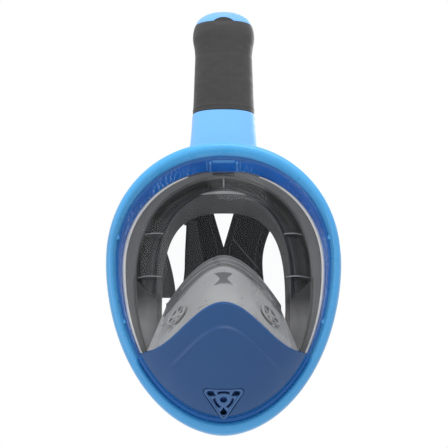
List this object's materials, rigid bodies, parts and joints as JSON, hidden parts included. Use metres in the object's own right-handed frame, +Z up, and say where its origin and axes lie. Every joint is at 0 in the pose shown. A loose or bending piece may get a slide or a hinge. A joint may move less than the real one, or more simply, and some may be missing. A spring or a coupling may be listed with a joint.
{
  "type": "full-face snorkel mask",
  "caption": "Full-face snorkel mask with a domed clear lens, a silicone face seal, a mouth and nose cup, a drain in the chin, a dry-top snorkel and a head harness.",
  "frame": {"origin": "centre of the face seal's plane, at the level where the frame is widest", "axes": "+Z up the wearer's face, +Y back through the wearer's head, the mask faces -Y, +X to the right as the mask is seen from the front"},
  "size_m": [0.19, 0.2341, 0.453],
  "materials": {
    "frame_blue": "light blue moulded plastic, satin gloss",
    "cap_blue": "light blue moulded plastic, satin gloss",
    "deep_blue": "translucent deep blue, gloss",
    "clear_lens": "clear polycarbonate, polished",
    "navy": "slate blue moulded plastic, satin",
    "snorkel_grey": "dark grey moulded plastic, satin",
    "clip_black": "black acetal, satin",
    "skirt_silicone": "grey silicone, satin",
    "cup_silicone": "translucent grey silicone, satin",
    "valve_silicone": "clear silicone, satin",
    "float_foam": "hollow plastic float, matt",
    "steel": "stainless steel",
    "webbing": "woven elastic webbing",
    "neoprene": "knit-faced neoprene"
  },
  "bodies": {
    "root": {"frame_ring": "frame_blue", "frame_rear_ring": "frame_blue", "screw_bosses": "frame_blue", "frame_screws": "steel", "lens_bezel": "deep_blue", "lens": "clear_lens", "air_duct_walls": "deep_blue", "chin_housing": "navy", "chin_cover": "navy", "drain_grille": "navy", "drain_valve_seat": "skirt_silicone", "face_skirt": "skirt_silicone", "orinasal_cup": "cup_silicone", "inhale_seat_left": "cup_silicone", "inhale_seat_right": "cup_silicone", "snorkel_neck": "frame_blue", "neck_gasket": "valve_silicone", "strap_lugs": "frame_blue", "lug_pins": "steel", "harness_pad": "neoprene", "arm_upper_left": "webbing", "arm_upper_right": "webbing", "arm_lower_left": "webbing", "arm_lower_right": "webbing", "strap_keepers": "clip_black", "strap_tail": "webbing"},
    "snorkel": {"snorkel_tube": "snorkel_grey", "channel_dividers": "snorkel_grey", "intake_seat": "snorkel_grey", "float_stop": "snorkel_grey", "exhaust_seat_left": "snorkel_grey", "exhaust_seat_right": "snorkel_grey", "top_cap": "cap_blue"},
    "float": {"float": "float_foam", "float_seal": "valve_silicone"},
    "exhaust_flap_left": {"exhaust_flap_left": "valve_silicone"},
    "inhale_membrane_left": {"inhale_membrane_left": "valve_silicone"},
    "exhaust_flap_right": {"exhaust_flap_right": "valve_silicone"},
    "inhale_membrane_right": {"inhale_membrane_right": "valve_silicone"},
    "drain_membrane": {"drain_membrane": "valve_silicone"},
    "clip_upper_left": {"clip_upper_left": "clip_black", "loop_upper_left": "webbing"},
    "clip_upper_right": {"clip_upper_right": "clip_black", "loop_upper_right": "webbing"},
    "clip_lower_left": {"clip_lower_left": "clip_black", "loop_lower_left": "webbing"},
    "clip_lower_right": {"clip_lower_right": "clip_black", "loop_lower_right": "webbing"}
  },
  "joints": [
    {"name": "snorkel_pull", "type": "slide", "parent": "root", "child": "snorkel", "axis": [0, 0.5878, 0.809], "range_m": [0, 0.06]},
    {"name": "float_rise", "type": "slide", "parent": "snorkel", "child": "float", "axis": [0, 0.5878, 0.809], "range_m": [0, 0.0107]},
    {"name": "exhaust_left", "type": "slide", "parent": "snorkel", "child": "exhaust_flap_left", "axis": [0, 0.5878, 0.809], "range_m": [0, 0.0015], "stiffness_N_per_m": 100},
    {"name": "exhaust_right", "type": "slide", "parent": "snorkel", "child": "exhaust_flap_right", "axis": [0, 0.5878, 0.809], "range_m": [0, 0.0015], "stiffness_N_per_m": 100},
    {"name": "inhale_left", "type": "slide", "parent": "root", "child": "inhale_membrane_left", "axis": [0.717, 0.4979, -0.4879], "range_m": [0, 0.0012], "stiffness_N_per_m": 100},
    {"name": "inhale_right", "type": "slide", "parent": "root", "child": "inhale_membrane_right", "axis": [-0.717, 0.4979, -0.4879], "range_m": [0, 0.0012], "stiffness_N_per_m": 100},
    {"name": "drain", "type": "slide", "parent": "root", "child": "drain_membrane", "axis": [0, -0.7431, -0.6691], "range_m": [0, 0.0012], "stiffness_N_per_m": 100},
    {"name": "clip_upper_left_swing", "type": "hinge", "parent": "root", "child": "clip_upper_left", "pos_m": [-0.06869, 0.00087, 0.05474], "axis": [0.6085, 0, 0.7935], "range_deg": [-25, 25]},
    {"name": "clip_upper_right_swing", "type": "hinge", "parent": "root", "child": "clip_upper_right", "pos_m": [0.06869, 0.00087, 0.05474], "axis": [-0.6085, 0, 0.7935], "range_deg": [-25, 25]},
    {"name": "clip_lower_left_swing", "type": "hinge", "parent": "root", "child": "clip_lower_left", "pos_m": [-0.0671, 0.00059, -0.08206], "axis": [-0.4713, 0, 0.882], "range_deg": [-25, 25]},
    {"name": "clip_lower_right_swing", "type": "hinge", "parent": "root", "child": "clip_lower_right", "pos_m": [0.0671, 0.00059, -0.08206], "axis": [0.4713, 0, 0.882], "range_deg": [-25, 25]}
  ]
}
